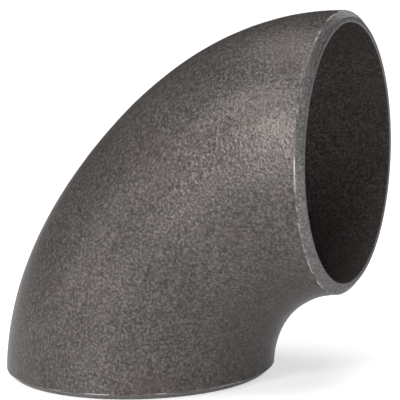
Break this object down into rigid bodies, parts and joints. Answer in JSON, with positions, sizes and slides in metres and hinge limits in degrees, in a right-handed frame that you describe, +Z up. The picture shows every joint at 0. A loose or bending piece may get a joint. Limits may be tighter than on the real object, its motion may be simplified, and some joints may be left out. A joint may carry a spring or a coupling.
{
  "type": "short-radius butt weld elbow",
  "caption": "Short-radius quarter-turn steel pipe elbow with plain, bevelled ends for butt welding, bare and shot-blasted.",
  "frame": {"origin": "centre of the lower weld end's face, on the pipe axis", "axes": "+Z up through the lower end along its pipe axis, +X out of the upper end along its pipe axis, Y square to the bend's plane"},
  "size_m": [0.1015, 0.076, 0.1016],
  "materials": {
    "bare_steel": "bare carbon steel, shot-blasted to a fine dull grain, with darker scale in the bore and ground weld bevels"
  },
  "bodies": {
    "root": {"elbow": "bare_steel"}
  },
  "joints": []
}
